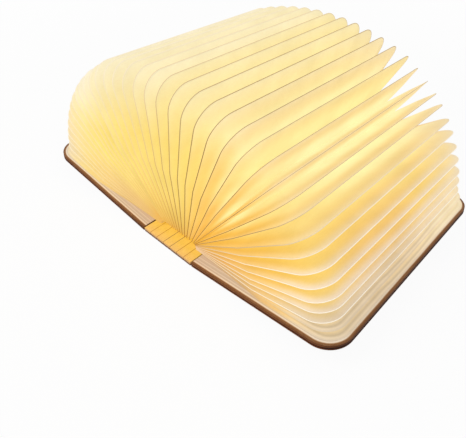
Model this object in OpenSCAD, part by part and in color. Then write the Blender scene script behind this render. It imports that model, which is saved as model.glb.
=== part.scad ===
// Folding book lamp: a book-shaped case that opens into a fan of lit paper pleats.
// X runs across the book (right cover at +X), Y along the spine, Z up.
// The open lamp lies on its spine. The origin is under the middle of the spine.

/* [Case] */
// length of the covers along the spine
book_l = 215; // [180:1:240]
// width of one cover, spine edge to fore edge
cover_w = 138; // [110:1:160]
// width of the flat spine, all slats together
spine_w = 58.4; // [50:0.1:70]
// outer wooden board thickness
board_t = 2.2; // [1.6:0.1:3]
// inner liner board thickness
liner_t = 1.8; // [1.4:0.1:2.4]
// radius of the two fore-edge corners of a cover
cover_r = 20; // [8:1:30]
// tilt of each open cover above level, degrees
cover_tilt = 6.7; // [3:0.1:10]
// gap between neighbouring spine slats
slat_gap = 0.6; // [0.4:0.1:1]

/* [Pages] */
// how much wider a page is than a cover
page_over = 1; // [-4:0.5:3]
// page end set back from the near end of the covers
page_inset_near = 3.6; // [1:0.1:8]
// page end set back from the far end of the covers
page_inset_far = 0.6; // [0.4:0.1:8]
// radius of the page corners
page_r = 18; // [6:1:28]
// thickness of a glued page edge, two sheets
page_t = 0.3; // [0.2:0.05:0.4]
// width of the glued edge strip
edge_w = 4; // [3:0.5:8]
// depth of a pleat from its outer fold to its inner fold
pleat_d = 30; // [15:1:40]
// height of the page roots above the table
root_z = 9.6; // [8:0.1:12]

/* [Light and electrics] */
// length of the light bar on the spine
bar_l = 168; // [120:1:180]
// battery length, width and height
battery = [56, 36, 4.6]; // [3:0.1:70]
// charging socket width, height and depth
socket = [9, 2.8, 7.4]; // [2:0.1:12]
// distance of the charging socket from the spine edge of the cover
socket_u = 46; // [30:1:90]
// magnet diameter
magnet_d = 10; // [6:0.5:14]

/* [Hidden] */
$fn = 64;
case_t = board_t + liner_t;          // cover thickness
slats = 7;
pitch = spine_w / slats;
hinge_z = case_t;                    // slats fold about their inner faces
slat_close = [60, 80, 90];           // slope of slats 1 to 3 in the closed book
close_q = 90 - cover_tilt;           // travel of a cover from open to closed

// page slopes above level on the right-hand side, middle page first
slope = [90, 85.5, 81, 76.5, 72, 67.5, 63, 58.4, 52.9, 47.9, 43.6, 38,
         33.5, 28.4, 23.7, 19.2, 15.7, 12];
side_pages = len(slope) - 1;
page_w = cover_w + page_over;        // page size from root to fore edge
end_paper_w = cover_w - 2.5;         // reach of the last pleat on the end paper
fan_split = 6;                       // pages 1 to 6 turn about the low axis
fan_a = [10, -18.4];                 // low axis of the steep pages
fan_b = [2.34 * pitch, 7];           // axis of the flat pages, carried by the cover
step_a = 0.59;                       // closed pitch of the steep pages
step_b = 0.46;                       // closed pitch of the flat pages
first_b = -1.6;                      // offset of the first flat page from its axis
fan_b_foot = 2;                      // flat pages start this far from their axis
root_cut = [70, 9];                  // slanted cut at the root ends of a page
end_margin = 1.2;                    // wood left bare around the end paper
web_gap = 0.06;                      // pleat sheet to page edge
web_lap = 1.1;                       // pleat sheet shift that gives its thickness

y0 = -book_l / 2;
y1 = book_l / 2;
py0 = y0 + page_inset_near;
py1 = y1 - page_inset_far;

wood = [0.47, 0.20, 0.14];
dark = [0.25, 0.12, 0.10];
tan = [0.80, 0.66, 0.46];
paper = [0.98, 0.93, 0.80];
metal = [0.75, 0.75, 0.77];
pcb = [0.12, 0.35, 0.20];

// page 0 is the middle one; the index after the last page is the end paper on the cover
function isa(k) = k <= fan_split;
function isend(k) = k > side_pages;
function lean(k) = isend(k) ? cover_tilt : slope[k];
function axis(k) = isa(k) ? fan_a : isend(k) ? [spine_w / 2, hinge_z] : fan_b;
function off(k) = isa(k) ? step_a * k - fan_a[0]
    : isend(k) ? -page_t / 2 : first_b + step_b * (k - fan_split - 1);
function foot(k) = isa(k)
    ? (root_z - fan_a[1] + off(k) * cos(slope[k])) / sin(slope[k])
    : isend(k) ? 1 : fan_b_foot;
function fore(k) = isa(k) ? foot(k) + page_w : isend(k) ? end_paper_w : page_w;

// outline of a page in its own plane: s from the axis, y along the spine, cut back by c
function arc(cx, cy, r, a0, a1, n) =
    [for (i = [0:n]) let (a = a0 + (a1 - a0) * i / n) [cx + r * cos(a), cy + r * sin(a)]];
function page_line(s0, s1, c, n) =
    let (r = max(page_r - c, 2), b = s1 - c, lo = py0 + c, hi = py1 - c)
    concat([[s0, lo + root_cut[1]], [s0 + root_cut[0], lo]],
           arc(b - r, lo + r, r, -90, 0, n), arc(b - r, hi - r, r, 0, 90, n),
           [[s0 + root_cut[0], hi], [s0, hi - root_cut[1]]]);

// a point of the page line put in space, for page k, lifted by e off the page plane
function put(k, p, e) =
    let (a = lean(k), c = axis(k), d = off(k) + e)
    [c[0] + p[0] * cos(a) + d * sin(a), p[1], c[1] + p[0] * sin(a) - d * cos(a)];

module side(m) { mirror([m < 0 ? 1 : 0, 0, 0]) children(); }

// ---------------------------------------------------------------- pages
module page_flat(k, w) {
    s0 = foot(k);
    s1 = fore(k);
    difference() {
        polygon(page_line(s0, s1, 0, 8));
        translate([-0.01, 0]) polygon(page_line(s0, s1, w, 8));
    }
}
module page(k, m, w = edge_w) {
    color(paper) side(m) translate([axis(k)[0], 0, axis(k)[1]]) rotate([0, -lean(k), 0])
        translate([0, 0, -off(k) - page_t / 2]) linear_extrude(page_t) page_flat(k, w);
}

// one V-shaped pleat between pages k and k + 1, a thin closed sheet
module pleat(k) {
    n = 6;
    e = page_t / 2 + web_gap;
    o0 = [for (p = page_line(foot(k), fore(k), 1, n)) put(k, p, e)];
    o1 = [for (p = page_line(foot(k + 1), fore(k + 1), 1, n)) put(k + 1, p, -e)];
    v0 = [for (p = page_line(foot(k), fore(k), pleat_d, n)) put(k, p, e)];
    v1 = [for (p = page_line(foot(k + 1), fore(k + 1), pleat_d, n)) put(k + 1, p, -e)];
    q0 = [for (p = page_line(foot(k), fore(k), 1 + web_lap, n)) put(k, p, e)];
    q1 = [for (p = page_line(foot(k + 1), fore(k + 1), 1 + web_lap, n)) put(k + 1, p, -e)];
    w0 = [for (p = page_line(foot(k), fore(k), pleat_d + web_lap, n)) put(k, p, e)];
    w1 = [for (p = page_line(foot(k + 1), fore(k + 1), pleat_d + web_lap, n)) put(k + 1, p, -e)];
    c = len(o0);
    v = [for (i = [0:c - 1]) (v0[i] + v1[i]) / 2];
    w = [for (i = [0:c - 1]) (w0[i] + w1[i]) / 2];
    // loop of six points per station: outer face, then inner face back
    pts = [for (i = [0:c - 1]) each [o0[i], v[i], o1[i], q1[i], w[i], q0[i]]];
    walls = [for (i = [0:c - 2], j = [0:5])
        let (a = 6 * i + j, b = 6 * i + (j + 1) % 6)
        each j < 3 ? [[a, b + 6, b], [a, a + 6, b + 6]] : [[a, a + 6, b], [b, a + 6, b + 6]]];
    z = 6 * (c - 1);
    ends = [[0, 4, 5], [0, 1, 4], [1, 3, 4], [1, 2, 3],
            [z, z + 5, z + 4], [z, z + 4, z + 1], [z + 1, z + 4, z + 3], [z + 1, z + 3, z + 2]];
    polyhedron(concat(pts), concat(walls, ends), convexity = 4);
}
module pleats(m) { color(paper) side(m) for (k = [0:side_pages]) pleat(k); }

// ---------------------------------------------------------------- case
module board(t, u0, inset) {
    r = cover_r - inset;
    linear_extrude(t) difference() {
        union() {
            translate([u0, y0 + inset]) square([cover_w - inset - r - u0, book_l - 2 * inset]);
            translate([u0, y0 + cover_r]) square([cover_w - inset - u0, book_l - 2 * cover_r]);
            for (s = [-1, 1]) translate([cover_w - cover_r, s * (book_l / 2 - cover_r)]) circle(r);
        }
    }
}
// puts things on the right cover: x outward from its spine edge, z = 0 on its inner face
module on_cover(m) {
    side(m) translate([spine_w / 2, 0, hinge_z]) rotate([0, -cover_tilt, 0]) children();
}
slot_w = socket[0] + 0.4;
socket_floor = socket[1] + 0.1;      // the socket stays just under the liner's face
battery_u = end_paper_w - pleat_d - 3 - battery[0];   // 3 mm short of the end paper
pocket_y = y1 - 3.2 - socket[2];
board_size = [30, 22, 0.8];
module electrics_cut() {
    // socket mouth, board pocket and battery window
    translate([socket_u - slot_w / 2, pocket_y - 0.2, -socket_floor])
        cube([slot_w, book_l, socket_floor + 1]);
    translate([socket_u - board_size[0] / 2 - 0.5, pocket_y - board_size[1] - 0.6, -liner_t - 0.01])
        cube([board_size[0] + 1, board_size[1] + 0.6, liner_t + 1]);
    translate([battery_u - 0.5, -battery[1] / 2 - 0.5, -liner_t - 0.01])
        cube([battery[0] + 1, battery[1] + 1, liner_t + 1]);
}
module thumb_notch() { translate([socket_u, y1 + 4, -case_t - 1]) cylinder(r = 7, h = case_t + 2); }
module magnet_hole(h) { translate([cover_w - 16, 0, -liner_t]) cylinder(d = magnet_d + 0.2, h = h); }

module cover(m) {
    color(wood) on_cover(m) difference() {
        translate([0, 0, -case_t]) board(board_t, slat_gap, 0);
        if (m > 0) { electrics_cut(); thumb_notch(); }
    }
}
module liner(m) {
    color(tan) on_cover(m) difference() {
        translate([0, 0, -liner_t]) board(liner_t, slat_gap, 0);
        magnet_hole(liner_t + 1);
        if (m > 0) { electrics_cut(); thumb_notch(); }
    }
}
// border of paper on the liner, open in the middle over the battery
module end_paper(m) {
    k = side_pages + 1;
    color(paper) on_cover(m) difference() {
        board(page_t, foot(k), end_margin);
        translate([-0.01, 0, -1]) linear_extrude(3)
            polygon(page_line(foot(k), fore(k), pleat_d, 8));
        if (m > 0) thumb_notch();
    }
}
module slat(i) {
    // i from -3 to 3
    color(dark) translate([i * pitch - (pitch - slat_gap) / 2, y0, 0])
        cube([pitch - slat_gap, book_l, board_t]);
}
module slat_liner(i) {
    color(tan) translate([i * pitch - (pitch - slat_gap) / 2, y0, board_t])
        cube([pitch - slat_gap, book_l, hinge_z - board_t]);
}
module slat_full(i) { slat(i); slat_liner(i); }

// ---------------------------------------------------------------- light and electrics
bar_w = 6.4;
bar_t = 1;
led_n = 14;
led = [2.8, 3.5, 0.7];
module light_bar() {
    color(pcb) translate([-bar_w / 2, -bar_l / 2, hinge_z]) cube([bar_w, bar_l, bar_t]);
}
module leds() {
    color([1, 0.9, 0.5]) for (i = [0:led_n - 1])
        translate([-led[0] / 2, -bar_l / 2 + bar_l * (i + 0.5) / led_n - led[1] / 2, hinge_z + bar_t])
            cube(led);
}
module diffuser() {
    // shallow channel over the emitters
    h = 2.6;
    color([0.96, 0.96, 0.92]) difference() {
        translate([-bar_w / 2, -bar_l / 2, hinge_z + bar_t]) cube([bar_w, bar_l, h]);
        translate([-bar_w / 2 + 0.8, -bar_l / 2 + 0.8, hinge_z + bar_t - 1])
            cube([bar_w - 1.6, bar_l - 1.6, h + 1 - 0.6]);
    }
}
module battery_cell() {
    color(metal) on_cover(1) translate([battery_u, -battery[1] / 2, -liner_t])
        cube([battery[0], battery[1], battery[2]]);
}
module control_board() {
    color(pcb) on_cover(1)
        translate([socket_u - board_size[0] / 2, pocket_y - board_size[1] - 0.2, -liner_t])
            cube(board_size);
}
module reed_switch() {
    color([0.15, 0.15, 0.15]) on_cover(1)
        translate([socket_u - 12, pocket_y - 18, -liner_t + board_size[2]]) cube([4, 3, 0.9]);
}
module charge_socket() {
    w = socket[0];
    h = socket[1];
    wall = 0.3;
    color(metal) on_cover(1) translate([socket_u - w / 2, pocket_y, -socket_floor]) difference() {
        cube([w, socket[2], h]);
        translate([wall, 1, wall]) cube([w - 2 * wall, socket[2], h - 2 * wall]);
    }
}
module magnet(m) {
    color(metal) on_cover(m) translate([cover_w - 16, 0, -liner_t]) cylinder(d = magnet_d, h = 1.6);
}

cover(1);  // cover_right
cover(-1);  // cover_left
liner(1);  // liner_right
liner(-1);  // liner_left
slat_full(-3);  // slat_left_3
slat_full(-2);  // slat_left_2
slat_full(-1);  // slat_left_1
slat_full(0);  // slat_centre
slat_full(1);  // slat_right_1
slat_full(2);  // slat_right_2
slat_full(3);  // slat_right_3
light_bar();
leds();
diffuser();
battery_cell();  // battery
control_board();
reed_switch();
charge_socket();
magnet(1);  // magnet_right
magnet(-1);  // magnet_left
pleats(1);  // pleats_right
pleats(-1);  // pleats_left
end_paper(1);  // end_paper_right
end_paper(-1);  // end_paper_left
page(0, 1);  // page_middle
page(1, 1);  // page_right_01
page(2, 1);  // page_right_02
page(3, 1);  // page_right_03
page(4, 1);  // page_right_04
page(5, 1);  // page_right_05
page(6, 1);  // page_right_06
page(7, 1);  // page_right_07
page(8, 1);  // page_right_08
page(9, 1);  // page_right_09
page(10, 1);  // page_right_10
page(11, 1);  // page_right_11
page(12, 1);  // page_right_12
page(13, 1);  // page_right_13
page(14, 1);  // page_right_14
page(15, 1);  // page_right_15
page(16, 1);  // page_right_16
page(17, 1);  // page_right_17
page(1, -1);  // page_left_01
page(2, -1);  // page_left_02
page(3, -1);  // page_left_03
page(4, -1);  // page_left_04
page(5, -1);  // page_left_05
page(6, -1);  // page_left_06
page(7, -1);  // page_left_07
page(8, -1);  // page_left_08
page(9, -1);  // page_left_09
page(10, -1);  // page_left_10
page(11, -1);  // page_left_11
page(12, -1);  // page_left_12
page(13, -1);  // page_left_13
page(14, -1);  // page_left_14
page(15, -1);  // page_left_15
page(16, -1);  // page_left_16
page(17, -1);  // page_left_17
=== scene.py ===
"""Folding book lamp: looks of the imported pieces, paper pleats, floor, light and camera.

The near end of the book is at -Y, right is +X and the table is at z = 0. Lengths are in mm in the
construction values and in metres in the scene. m is 1 on the right and -1 on the left. k counts
the pages from the middle one, 0, to the last, 17; k = 18 stands for the end paper.
"""
import math

import bpy
import numpy as np
from mathutils import Matrix, Vector


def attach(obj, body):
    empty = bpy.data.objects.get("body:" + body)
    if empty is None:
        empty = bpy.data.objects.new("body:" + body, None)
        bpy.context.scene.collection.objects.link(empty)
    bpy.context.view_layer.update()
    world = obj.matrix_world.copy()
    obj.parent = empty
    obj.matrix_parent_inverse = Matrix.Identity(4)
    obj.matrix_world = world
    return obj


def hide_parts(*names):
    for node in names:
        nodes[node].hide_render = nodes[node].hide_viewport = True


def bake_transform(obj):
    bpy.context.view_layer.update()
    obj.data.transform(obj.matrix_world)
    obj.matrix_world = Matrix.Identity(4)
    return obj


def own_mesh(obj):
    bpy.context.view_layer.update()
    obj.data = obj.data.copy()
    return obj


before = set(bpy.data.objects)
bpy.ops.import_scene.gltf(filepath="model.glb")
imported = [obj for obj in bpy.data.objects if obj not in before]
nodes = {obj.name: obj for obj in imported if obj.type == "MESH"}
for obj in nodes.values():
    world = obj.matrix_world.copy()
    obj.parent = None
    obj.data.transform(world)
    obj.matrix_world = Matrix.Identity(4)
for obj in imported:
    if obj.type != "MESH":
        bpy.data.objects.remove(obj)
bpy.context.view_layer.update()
scene = bpy.context.scene
MM = 0.001
PER_M = 1000        # mm in a metre
SIDES = (("right", 1), ("left", -1))

# ------------------------------------------------------------------ construction values, mm
BOOK_L, COVER_W, SPINE_W = 215.0, 138.0, 58.4
CASE_T = 4.0                    # a cover's two boards together
COVER_R = 20                    # radius of a cover's fore corners
TILT = 6.7                      # slope of an open cover, degrees
SLATS, SLAT_GAP = 7, 0.6
PITCH = SPINE_W / SLATS
PAGE_W, END_W = 139.0, 135.5    # reach of a page and of an end paper
PAGE_T = 0.3                    # thickness of a glued page edge
PLEAT_D = 30.0                  # depth of the pleats
PAGE_R, MIN_R = 18.0, 2.0       # a page's corner radius, and the least one inside a pleat
NEAR_GAP, FAR_GAP = 3.6, 0.6    # from the ends of the covers to those of the pages
PY0, PY1 = -BOOK_L / 2 + NEAR_GAP, BOOK_L / 2 - FAR_GAP
TAPER_S, TAPER_Y = 70, 9        # each page end runs in by 9 over the 70 next to the root
SLOPE = [90, 85.5, 81, 76.5, 72, 67.5, 63, 58.4, 52.9, 47.9, 43.6, 38,
         33.5, 28.4, 23.7, 19.2, 15.7, 12]      # of each page above level, degrees
LAST = len(SLOPE) - 1
SPLIT = 6                       # pages up to this one turn about FAN_A, the others about FAN_B
FAN_A, FAN_B = (10.0, -18.4), (2.34 * PITCH, 7.0)
ROOT_Z = 9.6                    # height of the roots about FAN_A
STEP_A = 0.59                   # from page to page, square to the pages
FIRST_B, STEP_B = -1.6, 0.46    # the first page about FAN_B, and the step from there
FOOT_B, FOOT_END = 2.0, 1.0     # roots about FAN_B, and that of the end paper, from their axis
# mesh steps along each stretch of a page's outline
N_TAPER, N_END, N_CORNER, N_FORE = 9, 5, 12, 12


def rad(a):
    return math.radians(a)


def lean(k):
    """Slope of page k above level, degrees."""
    return TILT if k > LAST else SLOPE[k]


def axis(k):
    """Point (x, z) about which page k turns."""
    return FAN_A if k <= SPLIT else (SPINE_W / 2, CASE_T) if k > LAST else FAN_B


def off(k):
    """How far the plane of page k lies from its axis."""
    if k <= SPLIT:
        return STEP_A * k - FAN_A[0]
    return -PAGE_T / 2 if k > LAST else FIRST_B + STEP_B * (k - SPLIT - 1)


def foot(k):
    """Distance of page k's root from its axis."""
    if k <= SPLIT:
        return (ROOT_Z - FAN_A[1] + off(k) * math.cos(rad(SLOPE[k]))) / math.sin(rad(SLOPE[k]))
    return FOOT_END if k > LAST else FOOT_B


def fore(k):
    """Distance of page k's fore edge from its axis."""
    return foot(k) + PAGE_W if k <= SPLIT else END_W if k > LAST else PAGE_W


def put(k, s, y, e):
    """A point of page k's plane: s from its axis, y along the spine, e towards the cover."""
    a, c, d = rad(lean(k)), axis(k), off(k) + e
    return np.array([c[0] + s * math.cos(a) + d * math.sin(a), y,
                     c[1] + s * math.sin(a) - d * math.cos(a)])


def outline(k, c):
    """The page's U-shaped edge set in by c, as evenly matched stations (s, y)."""
    s0, b = foot(k), fore(k) - c
    s1 = s0 + TAPER_S
    r, lo, hi = max(PAGE_R - c, MIN_R), PY0 + c, PY1 - c
    out = []

    def run(p, q, n):
        for i in range(n):
            t = i / n
            out.append((p[0] + (q[0] - p[0]) * t, p[1] + (q[1] - p[1]) * t))

    def arc(cx, cy, a0, n):
        for i in range(n):
            a = rad(a0 + 90 * i / n)
            out.append((cx + r * math.cos(a), cy + r * math.sin(a)))

    run((s0, lo + TAPER_Y), (s1, lo), N_TAPER)
    run((s1, lo), (b - r, lo), N_END)
    arc(b - r, lo + r, -90, N_CORNER)
    run((b, lo + r), (b, hi - r), N_FORE)
    arc(b - r, hi - r, 0, N_CORNER)
    run((b - r, hi), (s1, hi), N_END)
    run((s1, hi), (s0, hi - TAPER_Y), N_TAPER)
    out.append((s0, hi - TAPER_Y))
    return out


# ------------------------------------------------------------------ colour helpers
def lin(c):
    """sRGB 0-255 to linear."""
    return [(v / 255 / 12.92) if v / 255 <= 0.04045 else ((v / 255 + 0.055) / 1.055) ** 2.4
            for v in c]


def rgba(c):
    return (*lin(c), 1.0)


def smooth(x, a, b):
    """0 up to a, 1 from b on, and a smooth step between."""
    t = min(max((x - a) / (b - a), 0.0), 1.0)
    return t * t * (3 - 2 * t)


def ramp(x, stops):
    """Colour at x between the stops on either side of it."""
    if x <= stops[0][0]:
        return np.array(stops[0][1], float)
    for (a, ca), (b, cb) in zip(stops, stops[1:]):
        if x <= b:
            t = (x - a) / (b - a)
            return np.array(ca, float) * (1 - t) + np.array(cb, float) * t
    return np.array(stops[-1][1], float)


def mixed(c, other, t):
    """c with a share t of another colour."""
    return c * (1 - t) + np.array(other, float) * t


# ------------------------------------------------------------------ colours of a lit leaf
# from the root, 0, to the fore edge, 1: upright leaves, and leaves that lean to the right
GLOW_TOP = [(0.0, (250, 210, 130)), (0.12, (252, 221, 138)), (0.35, (255, 232, 150)),
            (0.65, (255, 232, 150)), (0.85, (255, 237, 173)), (1.0, (254, 242, 199))]
GLOW_RIGHT = [(0.0, (250, 200, 116)), (0.12, (250, 205, 120)), (0.35, (246, 202, 116)),
              (0.65, (245, 204, 120)), (0.85, (247, 215, 142)), (1.0, (248, 228, 184))]
INNER_LIGHT = (255, 250, 206)
# painted light and shade on the leaves near the covers
AMBER, FORE_AMBER, ROOT_SHADE = (252, 219, 126), (243, 200, 138), (226, 178, 128)
PALE_FOLD = {1: (246, 230, 212), -1: (247, 226, 184)}
LAST_ROOT, LAST_NEAR, LAST_FAR = (216, 184, 142), (220, 204, 180), (250, 232, 204)
# the faint pressed lines are drawn as lighter and darker bands, partly painted light and shade on
# the creases
FAINT = (0, -1, 1, -1, -1, 0, 1, 0, -1, 0)     # pressed lines on the lowest leaf
FAINT_PITCH, FAINT_TONE = 1 / 30, 0.06         # of the depth, and of the colour
# painted light on the right side
FAR_TIPS, SPLIT_LIFT = (252, 238, 206), (255, 240, 176)
# painted light on the left side
HEART, WASH, LEFT_ROOT = (255, 236, 148), (255, 250, 234), (240, 206, 148)
SPLIT_FORE, SPLIT_HEART = (255, 250, 236), (255, 240, 160)


def near_covers(c, k, m, s, y, d):
    """Leaves near the covers, all painted light and shade: wide pale folds, the lamp's amber glow
    between them, and shade near the roots.
    """
    low = smooth(k, 9.5, 13.5)
    amber = smooth(k + 1.5 * smooth(-y, -0.1, 0.35), 9.5, 13.5)
    c = mixed(c, AMBER, 0.6 * amber * smooth(d, 0.08, 0.35))
    fore_mid = smooth(s, 0.8, 0.97) * (1 - smooth(abs(y + 0.12), 0.08, 0.33))
    c = mixed(c, FORE_AMBER, 0.5 * low * fore_mid)
    # painted shade near the roots of the leaves next to the cover
    c = mixed(c, ROOT_SHADE, 0.65 * smooth(k, 9.5, 14.5) * (1 - smooth(s, 0.15, 0.6)))
    # painted shade at the near end, where the pale folds are dimmed near the roots
    near_end_shade = smooth(-y, 0.3, 0.48) * (1 - smooth(s, 0.6, 0.85))
    fold = (1 - smooth(d, 0.02, 0.20)) * smooth(s, 0.25, 0.7)
    return mixed(c, PALE_FOLD[m], 0.85 * low * fold * (1 - 0.6 * near_end_shade))


def last_leaves(c, k, m, s, y, d):
    """The very last leaves, greyer with painted shade, as they lie in the lamp's own shade, and
    with faint lines on the lowest.
    """
    last = smooth(k, 14.0, 17.0) * (1.0 if m > 0 else 0.5)
    # painted shade: tan near the roots, and grey further out
    c = mixed(c, LAST_ROOT, 0.8 * last * (1 - smooth(s, 0.35, 0.75)))
    far = smooth(y, -0.15, 0.3)
    grey = np.array(LAST_NEAR) * (1 - far) + np.array(LAST_FAR) * far
    c = mixed(c, grey, 0.75 * last * smooth(s, 0.5, 0.9))
    # faint pressed lines, partly painted light and shade on the creases
    if k == LAST:
        line = FAINT[min(int(d / FAINT_PITCH), len(FAINT) - 1)]
        c = np.minimum(c * (1 + FAINT_TONE * line), 255)
    return c


def right_leaves(c, k, s, y):
    """Right side, painted light: paler tips at the far end."""
    tips = smooth(s, 0.5, 0.8) * smooth(y, 0.15, 0.45)
    c = mixed(c, FAR_TIPS, (0.4 * smooth(k, 1, 4) + 0.2 * smooth(k, 6, 9)) * tips)
    if k == SPLIT:
        # pages 6 and 7 lie closest, so the fold between them is painted lighter to match the others
        c = mixed(c, SPLIT_LIFT, 0.45 * smooth(s, 0.35, 0.7))
    return c


def left_leaves(c, k, s):
    """Left side, painted light: a yellow glow at the heart that washes out to white at the outer
    folds.
    """
    heart = smooth(k, 3, 8) * smooth(s, 0.2, 0.5) * (1 - smooth(s, 0.6, 0.9))
    c = mixed(c, HEART, 0.5 * heart)
    by_page = (0.35 + 0.45 * smooth(k, 2, 9)) * (1 - 0.85 * smooth(k, 7, 12))
    c = mixed(c, WASH, smooth(s, 0.6, 0.98) * by_page)
    # painted shade near the roots of the last leaves
    c = mixed(c, LEFT_ROOT, 0.6 * smooth(k, 9, 15) * (1 - smooth(s, 0.4, 0.9)))
    # pages 6 and 7 lie closest, so the fold between them is painted lighter
    if k == SPLIT:
        c = mixed(c, SPLIT_FORE, 0.55 * smooth(s, 0.35, 0.7))
        c = mixed(c, SPLIT_HEART, 0.5 * (1 - smooth(s, 0.3, 0.5)))
    return c


def leaf_colour(k, m, s, y, d):
    """Colour that a lit leaf shows. s runs from root to fore edge, 0 to 1, y from the near end to
    the far end, -0.5 to 0.5, and d from the outer fold to the inner fold, 0 to 1."""
    r = smooth(k * m, 1.5, 6.5)
    c = mixed(ramp(s, GLOW_TOP), ramp(s, GLOW_RIGHT), r)
    # the light comes up through the inner folds, less so at the near end
    near = smooth(k * m, 4, 7) * smooth(s, 0.1, 0.7) * smooth(-y, 0.15, 0.45)
    up = smooth(d, 0.16, 0.66) * smooth(s, 0.02, 0.36) * (0.72 + 0.23 * r) * (1 - 0.4 * near)
    c = mixed(c, INNER_LIGHT, up)
    c = near_covers(c, k, m, s, y, d)
    c = last_leaves(c, k, m, s, y, d)
    return right_leaves(c, k, s, y) if m > 0 else left_leaves(c, k, s)


# ------------------------------------------------------------------ node trees
class Tree:
    """Short forms for building a node tree."""

    def __init__(self, tree):
        self.t = tree

    def add(self, kind, **kw):
        n = self.t.nodes.new(kind)
        for k, v in kw.items():
            setattr(n, k, v)
        return n

    def link(self, a, b):
        self.t.links.new(a, b)

    def coord(self, scale=(1, 1, 1)):
        """Place on the object, in metres, stretched by scale."""
        p = self.add("ShaderNodeMapping")
        p.inputs["Scale"].default_value = scale
        self.link(self.add("ShaderNodeTexCoord").outputs["Object"], p.inputs["Vector"])
        return p.outputs["Vector"]

    def xyz(self):
        sep = self.add("ShaderNodeSeparateXYZ")
        self.link(self.coord(), sep.inputs[0])
        return sep.outputs

    def noise(self, vec, scale, detail=4, rough=0.55, distortion=0.0):
        n = self.add("ShaderNodeTexNoise")
        n.inputs["Scale"].default_value = scale
        n.inputs["Detail"].default_value = detail
        n.inputs["Roughness"].default_value = rough
        n.inputs["Distortion"].default_value = distortion
        self.link(vec, n.inputs["Vector"])
        return n.outputs["Fac"]

    def ramp(self, fac, stops):
        r = self.add("ShaderNodeValToRGB")
        el = r.color_ramp.elements
        while len(el) > 1:
            el.remove(el[-1])
        el[0].position, el[0].color = stops[0]
        for p, c in stops[1:]:
            el.new(p).color = c
        self.link(fac, r.inputs["Fac"])
        return r.outputs["Color"]

    def math(self, op, a, b=None):
        n = self.add("ShaderNodeMath", operation=op)
        for i, v in enumerate([a, b]):
            if v is None:
                continue
            if isinstance(v, (int, float)):
                n.inputs[i].default_value = v
            else:
                self.link(v, n.inputs[i])
        return n.outputs[0]

    def length(self, a, b):
        squares = self.math("MULTIPLY", a, a), self.math("MULTIPLY", b, b)
        return self.math("SQRT", self.math("ADD", *squares))

    def shifted(self, v, wobble, amount):
        """v moved to and fro by a noise from 0 to 1."""
        return self.math("ADD", v, self.math("MULTIPLY", self.math("SUBTRACT", wobble, 0.5),
                                             amount))

    def rangemap(self, v, a, b, c=0.0, d=1.0, smoothstep=False):
        n = self.add("ShaderNodeMapRange")
        if smoothstep:
            n.interpolation_type = "SMOOTHSTEP"
        self.link(v, n.inputs["Value"])
        for i, x in zip(("From Min", "From Max", "To Min", "To Max"), (a, b, c, d)):
            n.inputs[i].default_value = x
        return n.outputs["Result"]

    def mix(self, fac, a, b, mode="MIX"):
        n = self.add("ShaderNodeMix", data_type="RGBA", blend_type=mode)
        for sock, v in zip((n.inputs[0], n.inputs[6], n.inputs[7]), (fac, a, b)):
            if isinstance(v, (int, float, tuple)):
                sock.default_value = v
            else:
                self.link(v, sock)
        return n.outputs[2]

    def times(self, a, b):
        return self.mix(1.0, a, b, "MULTIPLY")

    def dot(self, vec, d):
        n = self.add("ShaderNodeVectorMath", operation="DOT_PRODUCT")
        self.link(vec, n.inputs[0])
        n.inputs[1].default_value = d
        return n.outputs["Value"]

    def facing(self, d):
        """How far the surface faces the direction d."""
        return self.dot(self.add("ShaderNodeTexCoord").outputs["Normal"], d)

    def direct(self):
        """1 for what the camera sees, also in a mirror or through glass, and 0 for the rest."""
        rays = self.add("ShaderNodeLightPath").outputs
        seen = self.math("MAXIMUM", rays["Is Camera Ray"], rays["Is Glossy Ray"])
        return self.math("MAXIMUM", seen, rays["Is Transmission Ray"])


class Material(Tree):
    """A material with one Principled shader."""

    def __init__(self, name):
        self.mat = bpy.data.materials.new(name)
        self.mat.use_nodes = True
        super().__init__(self.mat.node_tree)
        self.bsdf = self.t.nodes["Principled BSDF"]

    def bump(self, height, strength, distance):
        b = self.add("ShaderNodeBump")
        b.inputs["Strength"].default_value = strength
        b.inputs["Distance"].default_value = distance
        self.link(height, b.inputs["Height"])
        self.link(b.outputs["Normal"], self.bsdf.inputs["Normal"])

    def out(self, **kw):
        """Set or link inputs of the shader; an underscore stands for a space in their names."""
        for k, v in kw.items():
            name = k.replace("_", " ")
            if isinstance(v, (int, float, tuple)):
                self.bsdf.inputs[name].default_value = v
            else:
                self.link(v, self.bsdf.inputs[name])
        return self.mat


def assign(name, mat):
    """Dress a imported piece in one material."""
    o = nodes[name]
    if not o.data.materials:
        o.data.materials.append(mat)
    for i in range(len(o.data.materials)):
        o.data.materials[i] = mat


def thick(name, me, what, t):
    """A new object of the mesh, made t mm thick about it."""
    o = bpy.data.objects.new(name, me)
    scene.collection.objects.link(o)
    sol = o.modifiers.new(what, "SOLIDIFY")
    sol.thickness = t * MM
    sol.offset = 0
    return o


def rim(n):
    """Distance in from the cover's outline, and distance from the middle, in metres."""
    x, y = (n.math("ABSOLUTE", v) for v in n.xyz()[:2])
    along = n.math("DIVIDE", n.math("SUBTRACT", x, SPINE_W / 2 * MM), math.cos(rad(TILT)))
    qx = n.math("SUBTRACT", along, (COVER_W - COVER_R) * MM)
    qy = n.math("SUBTRACT", y, (BOOK_L / 2 - COVER_R) * MM)
    outside = n.length(n.math("MAXIMUM", qx, 0.0), n.math("MAXIMUM", qy, 0.0))
    inside = n.math("MINIMUM", n.math("MAXIMUM", qx, qy), 0.0)
    return n.math("SUBTRACT", COVER_R * MM, n.math("ADD", outside, inside)), x


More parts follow.
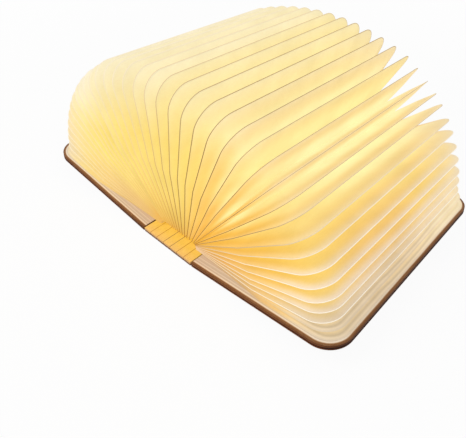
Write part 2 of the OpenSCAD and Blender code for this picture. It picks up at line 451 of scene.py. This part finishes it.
# ------------------------------------------------------------------ paper
LIT = 0.60          # share of the shown colour that the lamp's own light gives
STUDIO = 0.80       # what the studio light brings to a leaf, about
PLAIN = 0.45        # share of plain paper's tint in a leaf's own colour
PAPER_TINT, GLOW_TINT = (1.06, 1.02, 0.92), (1.0, 0.98, 0.94)


def split(c):
    """Shown colour (sRGB 0-255) into paper colour and glow, both linear."""
    t = np.array(lin(c))
    b = t * (1 - LIT) / STUDIO
    b = b * (1 - PLAIN) + b.mean() * np.array(PAPER_TINT) * PLAIN
    e = np.clip(t - b * STUDIO, 0.0, 1.0) * np.array(GLOW_TINT)
    return b, e


def paper_fibre(n, detail=4, rough=0.6):
    """Fine fibres, longest along the spine."""
    return n.noise(n.coord((1, 0.35, 1)), 900, detail, rough)


def sheet_material():
    """Thin pleated paper; its colours come from the mesh."""
    n = Material("lit_paper")
    fibre = paper_fibre(n, 5, 0.65)
    cloud = n.noise(n.coord(), 45, 3, 0.5)
    clouds = n.ramp(cloud, [(0.3, (0.93, 0.92, 0.89, 1)), (0.7, (1, 1, 1, 1))])
    fibres = n.ramp(fibre, [(0.25, (0.94, 0.93, 0.91, 1)), (0.75, (1, 1, 1, 1))])
    base, glow = (n.add("ShaderNodeAttribute", attribute_name=a).outputs["Color"]
                  for a in ("paper", "glow"))
    base, glow = (n.times(n.times(c, clouds), fibres) for c in (base, glow))
    n.bump(n.math("ADD", n.math("MULTIPLY", fibre, 0.5), cloud), 0.18, 0.0006)
    rough = n.rangemap(fibre, 0.2, 0.8, 0.62, 0.78)
    return n.out(Base_Color=base, Emission_Color=glow, Emission_Strength=1.0,
                 Roughness=rough, Specular_IOR_Level=0.25, Sheen_Weight=0.08)


FAN_Z, FAN_REACH = 0.006, 0.158     # where the page edges start and how far they reach, m


def edge_material(name, stops, line, amount):
    """Glued page edges: colour and glow, painted lamp light, by distance from the spine, with a
    darker or paler line.
    """
    n = Material(name)
    x, _, z = n.xyz()
    u = n.rangemap(n.length(x, n.math("SUBTRACT", z, FAN_Z)), 0.0, FAN_REACH)
    fibre = paper_fibre(n)
    shown = [(p, *split(c)) for p, c in stops]
    base = n.ramp(u, [(p, (*b, 1)) for p, b, _ in shown])
    glow = n.ramp(u, [(p, (*e, 1)) for p, _, e in shown])
    line_base, line_glow = split(line)
    f = n.rangemap(fibre, 0.2, 0.8, amount * 0.85, amount)
    base = n.mix(f, base, (*line_base, 1))
    glow = n.mix(f, glow, (*line_glow, 1))
    n.bump(fibre, 0.12, 0.0004)
    return n.out(Base_Color=base, Emission_Color=glow, Emission_Strength=1.0,
                 Roughness=n.rangemap(fibre, 0.2, 0.8, 0.6, 0.8), Specular_IOR_Level=0.25)


# bare wood, then pressed fold lines, over the first 10 mm in from the cover's outline; the lines'
# pale ridges and greyer grooves are partly painted light and shade
PRESSED = [(0.0, (104, 60, 28)), (0.19, (150, 104, 64)), (0.24, (216, 192, 162)),
           (0.29, (242, 228, 208)), (0.34, (234, 218, 196)), (0.40, (206, 186, 164)),
           (0.50, (216, 198, 176)), (0.56, (234, 218, 198)), (0.62, (206, 188, 166)),
           (0.79, (218, 200, 176)), (0.86, (234, 218, 196)), (0.92, (210, 190, 166)),
           (1.0, (218, 198, 172))]


def end_paper_material(side):
    """Greyish paper with the pressed fold lines of the first leaves along its border, and a faint
    painted glow from the lamp.
    """
    n = Material("end_paper_" + side)
    d, x = rim(n)
    d = n.shifted(d, n.noise(n.coord(), 30, 2, 0.5), 0.0006)
    lines = n.ramp(n.rangemap(d, 0.0, 0.010), [(p, rgba(c)) for p, c in PRESSED])
    fibre = paper_fibre(n)
    # painted light and shade: redder and darker at the spine, bluer at the fore edge
    tone = n.ramp(n.rangemap(x, 0.028, 0.162),
                  [(0.0, (0.96, 0.90, 0.86, 1)), (0.4, (1.0, 0.99, 0.96, 1)),
                   (1.0, (0.98, 1.02, 1.08, 1))])
    col = n.times(lines, tone)
    n.bump(n.math("ADD", fibre, n.math("MULTIPLY", lines, 1.5)), 0.2, 0.0004)
    # the paper's faint glow is painted lamp light
    return n.out(Base_Color=n.times(col, (0.72, 0.72, 0.72, 1)),
                 Emission_Color=n.times(col, (0.34, 0.31, 0.28, 1)), Emission_Strength=1.0,
                 Roughness=n.rangemap(fibre, 0.2, 0.8, 0.6, 0.8), Specular_IOR_Level=0.25)


# ------------------------------------------------------------------ pleats
DEPTHS = [0.45, 1.3, 2.5, 4.2, 6.5, 9.5, 13, 17, 21, 25, 28.3, 29.5, PLEAT_D]
SHEET = 0.06        # thickness of the paper
FACE = PAGE_T / 2 + SHEET / 2 + 0.005   # from the middle of a page edge to a sheet's middle
SWELL = 1.22        # above 1, a pleat leaves its page edges gently
SAG, WAVE_Y, WAVE_S = 0.21, 31, 17      # soft waves in the sheets
BATTERY_LEAF, BATTERY_REACH = 12, 26.5  # first page near the battery, and pleat depth over it
BATTERY_Y = (20, 45)    # from the middle: last of that depth, and first of the full depth


def past(k):
    """Depths of a sheet's tail, which keeps the fold shut when a cover opens further."""
    return [34.5, 39.0] if k == LAST else [36.5] if k == SPLIT else [33.8]


def room(k, m, y):
    """Share of the pleat depth that the last leaves on the right keep over the battery."""
    if m < 0 or k < BATTERY_LEAF:
        return 1.0
    least = BATTERY_REACH / past(k)[-1]
    return least + (1 - least) * smooth(abs(y), *BATTERY_Y)


def sheet_rows(k, m, half):
    """Rows of points across half a pleat between pages k and k + 1. Half 0 goes from page k down
    past the inner fold; half 1 comes from there to page k + 1. The last pleat has one more outer
    fold, on half 1. A row is its points, its depth from 0 to 1 and its stations."""
    rows = []
    for c in DEPTHS + past(k):
        t = (c - DEPTHS[0]) / (PLEAT_D - DEPTHS[0])
        f = 0.5 * t ** SWELL
        la, lb = ([(s + c * (1 - room(k, m, y)), y) for s, y in outline(i, c)] for i in (k, k + 1))
        a = np.array([put(k, s, y, FACE) for s, y in la])
        b = np.array([put(k + 1, s, y, -FACE) for s, y in lb])
        rows.append((a, b, (a + b) / 2, f, t, la, lb))
    if half == 0:
        return [(a * (1 - f) + (b if k < LAST else c) * f, t, la)
                for a, b, c, f, t, la, _ in rows]
    if k < LAST:
        return [(b * (1 - f) + a * f, t, lb) for a, b, _, f, t, _, lb in rows][::-1]
    back = [(c * (1 - f) + a * f, t, la) for a, _, c, f, t, la, _ in rows][::-1]
    n = len(DEPTHS)
    down = [(c * (1 - f) + b * f, t, lb) for _, b, c, f, t, _, lb in rows[1:n]]
    up = [(b * (1 - f) + c * f, t, lb) for _, b, c, f, t, _, lb in rows[:n - 1]][::-1]
    return back + down + up


def sheet_paint(k, m, half, s, y, t):
    """Paper colour and glow of a sheet at station (s, y) and depth t."""
    # at the near end, undersides get less studio light: the lamp's own light makes up for it
    under = 0.3 * STUDIO * smooth(k, 2, 5) if m > 0 and half == 0 else 0.0
    s, y = min(max((s - foot(k)) / PAGE_W, 0), 1), y / BOOK_L
    b, e = split(leaf_colour(k, m, s, y, t))
    e = np.clip(e + b * under * (1 - 0.9 * smooth(y, -0.47, -0.3)), 0.0, 1.0)
    # painted shade: the paper is darker near the roots
    b = b * (0.76 + 0.24 * smooth(s, 0.0, 0.3))
    return (*b, 1), (*e, 1)


def sheet_mesh(name, k, m, half):
    """Half a pleat with its colours, as a new object."""
    rows = sheet_rows(k, m, half)
    # rows along the folds inside a half sheet, which only the last pleat has
    folds = {i for i in range(len(past(k)) + 1, len(rows) - 1)
             if rows[i][1] in (0.0, 1.0) and half}
    n = len(rows[0][0])
    co, paint = [], []
    # both halves of a pleat share their waves
    wave = np.random.default_rng(100 * k + (7 if m > 0 else 3))
    p1, p2 = wave.uniform(0, 6.28, 2)
    for pts, t, stations in rows:
        for p, (s, y) in zip(pts, stations):
            sag = SAG * math.sin(math.pi * min(t, 1.0)) * (
                math.sin(y / WAVE_Y + p1) + math.sin(s / WAVE_S + p2))
            q = p * MM
            q[2] += sag * MM
            co.append((m * q[0], q[1], q[2]))
            paint.append(sheet_paint(k, m, half, s, y, t))
    faces = []
    for i in range(len(rows) - 1):
        for j in range(n - 1):
            q = (i * n + j, i * n + j + 1, (i + 1) * n + j + 1, (i + 1) * n + j)
            faces.append(q if m > 0 else q[::-1])
    me = bpy.data.meshes.new(name)
    me.from_pydata(co, [], faces)
    me.update()
    me.shade_smooth()
    sharp = me.attributes.new("sharp_edge", "BOOLEAN", "EDGE")
    flags = np.zeros(len(me.edges), bool)
    for ed in me.edges:
        a, b = ed.vertices
        flags[ed.index] = a // n == b // n and a // n in folds
    sharp.data.foreach_set("value", flags)
    for colours, vals in zip(("paper", "glow"), zip(*paint)):
        at = me.color_attributes.new(colours, "FLOAT_COLOR", "POINT")
        at.data.foreach_set("color", np.array(vals, np.float32).ravel())
    return thick(name, me, "sheet", SHEET)


PAPER = sheet_material()
for side_name, m in SIDES:
    for k in range(LAST + 1):
        for half in (0, 1):
            o = sheet_mesh(f"sheet_{side_name}_{k:02d}{'ab'[half]}", k, m, half)
            o.data.materials.append(PAPER)
            leaf = k + half
            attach(o, "spine" if leaf == 0 else f"cover_{side_name}_half" if leaf > LAST
                    else f"leaf_{side_name}_{leaf:02d}")
            # the sheet lies down on its page as the book closes
            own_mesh(o)
            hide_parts("pleats_" + side_name)

# painted lamp light and shade on the page edges, from the spine, 0, to the fore edge, 1
DARK_STOPS = [(0.0, (206, 132, 58)), (0.12, (172, 118, 58)), (0.35, (136, 100, 50)),
              (0.75, (146, 112, 64)), (0.92, (190, 160, 112)), (1.0, (224, 204, 166))]
SOFT_STOPS = [(0.0, (226, 156, 76)), (0.12, (206, 158, 86)), (0.35, (208, 170, 106)),
              (0.75, (226, 196, 142)), (0.92, (238, 216, 172)), (1.0, (242, 226, 190))]
LOW_STOPS = [(0.0, (226, 166, 104)), (0.12, (230, 184, 130)), (0.35, (236, 208, 164)),
             (0.75, (248, 236, 214)), (0.92, (250, 241, 226)), (1.0, (250, 243, 230))]
LEFT_STOPS = [(0.0, (236, 172, 90)), (0.12, (240, 192, 110)), (0.35, (244, 210, 138)),
              (0.75, (248, 232, 192)), (0.92, (251, 240, 218)), (1.0, (252, 243, 226))]
DARK_LINE, PALE_LINE = (128, 92, 50), (255, 250, 240)


def between(a, b, t):
    """Mix of two lists of stops at the same places."""
    return [(p, tuple(np.array(ca) * (1 - t) + np.array(cb) * t)) for (p, ca), (_, cb) in zip(a, b)]


def page_edge(k, m, name):
    """Dress one page edge in painted lamp light and shade: dark on the right, but pale near the
    cover and on the left.
    """
    low = smooth(k * m, 8.5, 13)
    stops = between(SOFT_STOPS, DARK_STOPS, smooth(k * m, -1, 5))
    stops = between(stops, LOW_STOPS, low)
    stops = between(stops, LEFT_STOPS, smooth(-k * m, -1, 4))
    line = between([(0, DARK_LINE)], [(0, PALE_LINE)], low)[0][1]
    assign("page_" + name, edge_material("page_edge_" + name, stops, line,
                                         0.06 + 0.19 * smooth(k * m, -3, 3)))


page_edge(0, 1, "middle")
for k in range(1, LAST + 1):
    for s, m in SIDES:
        page_edge(k, m, f"{s}_{k:02d}")
for s, m in SIDES:
    assign("end_paper_" + s, end_paper_material(s))


# ------------------------------------------------------------------ wood
RED = [(70, 26, 20), (104, 42, 29), (128, 54, 36), (150, 68, 44)]
TAN = [(168, 122, 78), (186, 141, 95), (198, 154, 108), (208, 166, 120)]
SPINE_RED = [(52, 28, 24), (74, 40, 34), (92, 50, 40), (108, 60, 46)]
SCORCHED_VENEER, SCORCHED_WOOD = (30, 17, 13), (104, 60, 28)
KRAFT_DARK, KRAFT_LIGHT, KRAFT_EDGE = (172, 138, 76), (192, 156, 90), (196, 146, 88)
LINING_GLOW, LINING_END_GLOW = (255, 206, 62), (246, 196, 110)
# layers of a laser-cut edge, from the outer face to the inner one; its paler bands are partly
# painted glints
CUT = [(0.0, (112, 72, 44)), (0.12, (150, 100, 62)), (0.28, (108, 58, 26)), (0.42, (64, 31, 14)),
       (0.50, (44, 20, 10)), (0.60, (90, 47, 20)), (0.75, (158, 102, 54)), (0.88, (122, 70, 32)),
       (1.0, (98, 56, 26))]


def outward(m):
    """Normal of the open cover's inner face; m = 0 for the flat spine."""
    a = rad(TILT) if m else 0.0
    return -m * math.sin(a), 0, math.cos(a)


def ply(n, m):
    """Place between the outer face of the case, 0, and its inner face, 1."""
    x, _, z = outward(m)
    h = n.dot(n.coord(), (x * PER_M, 0, z * PER_M))
    hinge = x * m * SPINE_W / 2 + z * CASE_T
    return n.rangemap(n.math("SUBTRACT", h, hinge), -CASE_T, 0.0)


def grain(n, tint):
    """Long wavy wood grain along the spine: its colour, fine streaks and pores."""
    warp = n.noise(n.coord((1, 0.5, 1)), 9, 2, 0.5)
    comb = n.add("ShaderNodeCombineXYZ")
    n.link(warp, comb.inputs[0])
    bend = n.add("ShaderNodeVectorMath", operation="SCALE")
    n.link(comb.outputs[0], bend.inputs[0])
    bend.inputs["Scale"].default_value = 0.045
    bent = n.add("ShaderNodeVectorMath", operation="ADD")
    n.link(n.coord((1, 0.045, 1)), bent.inputs[0])
    n.link(bend.outputs[0], bent.inputs[1])
    vec = bent.outputs[0]
    broad = n.noise(vec, 95, 4, 0.55, 0.6)
    fine = n.noise(vec, 620, 6, 0.7)
    pores = n.noise(n.coord((1, 0.03, 1)), 1900, 2, 0.5)
    col = n.ramp(broad, [(p, rgba(c)) for p, c in zip((0.28, 0.45, 0.58, 0.75), tint)])
    f = n.ramp(fine, [(0.30, (0.62, 0.58, 0.56, 1)), (0.62, (1.06, 1.05, 1.04, 1))])
    p = n.ramp(pores, [(0.34, (0.55, 0.5, 0.48, 1)), (0.44, (1, 1, 1, 1))])
    col = n.mix(0.8, col, f, "MULTIPLY")
    col = n.mix(0.7, col, p, "MULTIPLY")
    return col, fine, pores


def burnt_edge(n, m, wobble, x):
    """Colour of a cover's cut edge."""
    cut = n.ramp(n.shifted(ply(n, m), wobble, 0.10), [(p, rgba(c)) for p, c in CUT])
    soot = n.noise(n.coord((1, 0.15, 1)), 420, 4, 0.6)
    soot = n.ramp(soot, [(0.3, (0.5, 0.46, 0.44, 1)), (0.65, (1.1, 1.08, 1.05, 1))])
    cut = n.mix(0.6, cut, soot, "MULTIPLY")
    # painted shade: the fore edges are darker than the ends
    side = n.rangemap(n.math("ABSOLUTE", n.facing((1, 0, 0))), 0.3, 0.8)
    cut = n.mix(side, cut, n.times(cut, (0.58, 0.58, 0.62, 1)))
    at_spine = (1.06, 1.04, 1.0, 1) if m > 0 else (0.86, 0.84, 0.82, 1)
    return n.times(cut, n.ramp(n.rangemap(x, 0.03, 0.165), [
        (0.0, at_spine), (0.6, (1.0, 0.92, 0.84, 1)), (1.0, (0.66, 0.54, 0.48, 1))]))


def board_material(name, m, veneer):
    """Laser-cut board: veneer or raw wood on the faces, burnt layers on the cut edge."""
    n = Material(name)
    col, fine, pores = grain(n, RED if veneer else TAN)
    wobble = n.noise(n.coord((1, 0.2, 1)), 160, 3, 0.6)
    d, x = rim(n)
    cut = burnt_edge(n, m, wobble, x)
    # 1 on the cut edges, 0 on the faces
    e = n.rangemap(n.math("ABSOLUTE", n.facing(outward(m))), 0.5, 0.75, 1.0, 0.0)
    # scorched line along the rim of the faces
    d = n.math("MINIMUM", d, n.math("SUBTRACT", x, (SPINE_W / 2 + SLAT_GAP) * MM))
    wide = 0.0010 if veneer else 0.0022
    burn = n.rangemap(n.shifted(d, wobble, 0.0008), 0.0002, wide, 1.0, 0.0, smoothstep=True)
    col = n.mix(n.math("MULTIPLY", burn, 0.85), col,
                rgba(SCORCHED_VENEER if veneer else SCORCHED_WOOD))
    col = n.mix(e, col, cut)
    n.bump(n.math("ADD", n.math("MULTIPLY", fine, 0.6), pores), 0.22, 0.0005)
    if veneer:
        rough = n.mix(e, n.rangemap(fine, 0.2, 0.8, 0.46, 0.34), (0.8, 0.8, 0.8, 1))
        return n.out(Base_Color=col, Roughness=rough, Coat_Roughness=0.3,
                     Specular_IOR_Level=n.rangemap(e, 0.0, 1.0, 0.4, 0.12),
                     Coat_Weight=n.rangemap(e, 0.0, 1.0, 0.12, 0.0))
    return n.out(Base_Color=col, Roughness=n.rangemap(fine, 0.2, 0.8, 0.7, 0.55),
                 Specular_IOR_Level=n.rangemap(e, 0.0, 1.0, 0.3, 0.12))


def slat_material(name):
    """Spine slat: dark veneer outside, lit kraft lining inside."""
    n = Material(name)
    col, fine, pores = grain(n, SPINE_RED)
    kraft = n.noise(n.coord((1, 0.3, 1)), 700, 4, 0.6)
    tan = n.ramp(kraft, [(0.3, rgba(KRAFT_DARK)), (0.7, rgba(KRAFT_LIGHT))])
    h = ply(n, 0)
    cut = n.ramp(h, [(p, rgba(c)) for p, c in CUT])
    up = n.facing((0, 0, 1))
    top = n.rangemap(up, 0.5, 0.75)
    edge = n.rangemap(n.math("ABSOLUTE", up), 0.5, 0.75, 1.0, 0.0)
    col = n.mix(top, n.mix(edge, col, cut), tan)
    inner = n.math("MULTIPLY", edge, n.rangemap(h, 0.42, 0.60))
    col = n.mix(n.math("MULTIPLY", inner, 0.85), col, rgba(KRAFT_EDGE))
    # yellow light on the lining, paler towards the ends
    lit = n.math("MAXIMUM", top, n.math("MULTIPLY", inner, 0.5))
    end = n.rangemap(n.math("ABSOLUTE", n.xyz()[1]), 0.098, 0.107)
    warm = n.mix(end, rgba(LINING_GLOW), rgba(LINING_END_GLOW))
    glow = n.mix(n.math("MULTIPLY", lit, 0.50), (0, 0, 0, 1), warm)
    n.bump(n.math("ADD", n.math("MULTIPLY", fine, 0.6), pores), 0.25, 0.0005)
    return n.out(Base_Color=col, Emission_Color=glow, Emission_Strength=1.0,
                 Roughness=n.rangemap(fine, 0.2, 0.8, 0.55, 0.42), Specular_IOR_Level=0.35)


for s, m in SIDES:
    assign("cover_" + s, board_material("veneer_" + s, m, veneer=True))
    assign("liner_" + s, board_material("liner_board_" + s, m, veneer=False))
SLAT = slat_material("spine_slat")
for name in ["slat_centre"] + [f"slat_{s}_{i}" for s, _ in SIDES for i in (1, 2, 3)]:
    assign(name, SLAT)


# ------------------------------------------------------------------ lining and electrics
def simple(name, c0, c1, scale, rough=(0.4, 0.55), metallic=0.0, glow=None, stretch=(1, 1, 1)):
    """Finely mottled material between two colours."""
    n = Material(name)
    a = n.noise(n.coord(stretch), scale, 4, 0.6)
    n.bump(a, 0.1, 0.0004)
    if glow:
        n.out(Emission_Color=n.mix(n.rangemap(a, 0.2, 0.8, 0.9, 1.0), (0, 0, 0, 1), rgba(glow)),
              Emission_Strength=1.0)
    return n.out(Base_Color=n.ramp(a, [(0.3, rgba(c0)), (0.7, rgba(c1))]), Metallic=metallic,
                 Roughness=n.rangemap(a, 0.2, 0.8, *rough))


CLOTH_L, CLOTH_T, CLOTH_Z = 214, 0.25, 3.7


def lining(s, m):
    """Narrow cloth that joins the middle slat to the first strip beside it."""
    x0, x1, z = (PITCH - SLAT_GAP) / 2, (PITCH + SLAT_GAP) / 2, CLOTH_Z
    across, along, reach = 8, 9, CLOTH_L / 2
    co = [(m * (x0 + (x1 - x0) * i / across) * MM, y * MM, z * MM)
          for i in range(across + 1) for y in np.linspace(-reach, reach, along)]
    faces = [(i * along + j, i * along + j + 1, (i + 1) * along + j + 1, (i + 1) * along + j)
             for i in range(across) for j in range(along - 1)]
    me = bpy.data.meshes.new("lining_" + s)
    me.from_pydata(co, [], [f[::-m] for f in faces])
    me.shade_smooth()
    o = thick("lining_" + s, me, "cloth", CLOTH_T)
    o.data.materials.append(simple("lining_cloth_" + s, (150, 122, 78), (178, 148, 98), 900,
                                   rough=(0.75, 0.9)))
    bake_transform(o)


assign("light_bar", simple("light_bar_board", (208, 208, 200), (226, 225, 216), 500))
assign("leds", simple("led_emitters", (255, 220, 130), (255, 232, 160), 900,
                      glow=(255, 214, 120)))
assign("diffuser", simple("diffuser_plastic", (236, 220, 180), (246, 232, 196), 300,
                          rough=(0.35, 0.5), glow=(235, 180, 80)))
assign("battery", simple("cell_foil", (176, 180, 184), (200, 203, 206), 380,
                         rough=(0.25, 0.4), metallic=0.85))
assign("control_board", simple("green_board", (20, 74, 44), (30, 92, 56), 700))
assign("reed_switch", simple("black_plastic", (22, 22, 24), (34, 34, 36), 900))
assign("charge_socket", simple("socket_steel", (150, 152, 155), (190, 192, 195), 1200,
                               rough=(0.25, 0.4), metallic=1.0, stretch=(1, 0.1, 1)))
for s, m in SIDES:
    lining(s, m)
    assign("magnet_" + s, simple("nickel_" + s, (178, 178, 176), (204, 203, 200), 800,
                                 rough=(0.18, 0.3), metallic=1.0))


# ------------------------------------------------------------------ floor, light, camera
def floor():
    """Plain pale floor, seen nearly white and paler still away from the lamp."""
    me = bpy.data.meshes.new("floor")
    r, z = 3.0, -0.0002
    me.from_pydata([(x * r, y * r, z) for x, y in ((-1, -1), (1, -1), (1, 1), (-1, 1))], [],
                   [(0, 1, 2, 3)])
    o = bpy.data.objects.new("floor", me)
    scene.collection.objects.link(o)
    g = Material("floor_white")
    g.out(Base_Color=(0.86, 0.86, 0.86, 1), Roughness=0.85, Specular_IOR_Level=0.1)
    em = g.add("ShaderNodeEmission")
    em.inputs["Color"].default_value = (1, 1, 1, 1)
    mx = g.add("ShaderNodeMixShader")
    x, y, _ = g.xyz()
    white = g.rangemap(g.length(x, y), 0.35, 1.1, 0.94, 1.0)
    g.link(g.math("MULTIPLY", g.direct(), white), mx.inputs[0])
    g.link(g.bsdf.outputs[0], mx.inputs[1])
    g.link(em.outputs[0], mx.inputs[2])
    g.link(mx.outputs[0], g.t.nodes["Material Output"].inputs["Surface"])
    o.data.materials.append(g.mat)


def studio():
    """White surroundings, which light the lamp at half the brightness they show."""
    scene.world = bpy.data.worlds.new("studio")
    scene.world.use_nodes = True
    w = Tree(scene.world.node_tree)
    bg = w.t.nodes["Background"]
    bg.inputs["Color"].default_value = (1, 1, 1, 1)
    w.link(w.rangemap(w.direct(), 0.0, 1.0, 0.5, 1.0), bg.inputs["Strength"])


def lamp(name, loc, size, power, target=(0, 0, 0.05)):
    d = bpy.data.lights.new(name, "AREA")
    d.shape, d.size, d.energy = "DISK", size, power
    o = bpy.data.objects.new(name, d)
    o.location = loc
    o.rotation_euler = (Vector(target) - Vector(loc)).to_track_quat("-Z", "Y").to_euler()
    scene.collection.objects.link(o)


def camera(azimuth, elevation, roll, distance, lens, shift):
    """A camera that looks at the origin; the angles are in degrees, azimuth 0 looks along +Y."""
    cam = bpy.data.cameras.new("camera")
    cam.sensor_width, cam.lens = 36.0, lens
    cam.shift_x, cam.shift_y = shift
    cam.clip_start = 0.01
    az, el, roll = rad(azimuth), rad(elevation), rad(roll)
    back = Vector((math.sin(az) * math.cos(el), -math.cos(az) * math.cos(el), math.sin(el)))
    right = Vector((math.cos(az), math.sin(az), 0))
    up = back.cross(right)
    rolled_right = right * math.cos(roll) + up * math.sin(roll)
    rolled_up = up * math.cos(roll) - right * math.sin(roll)
    mat = Matrix((rolled_right, rolled_up, back)).transposed().to_4x4()
    mat.translation = back * distance
    o = bpy.data.objects.new("camera", cam)
    o.matrix_world = mat
    scene.collection.objects.link(o)
    scene.camera = o


floor()
studio()
lamp("key", (-0.7, -0.9, 1.2), size=1.0, power=9.0)
lamp("fill", (1.1, -0.5, 0.9), size=1.2, power=4.0)
scene.view_settings.view_transform = "Standard"
PICTURE_W, SHIFT = 466, (-20.4, -29.1)      # width of the picture, and the camera's shift, pixels
camera(azimuth=40.54, elevation=38.78, roll=2.52, distance=0.4634, lens=37.09,
       shift=[v / PICTURE_W for v in SHIFT])
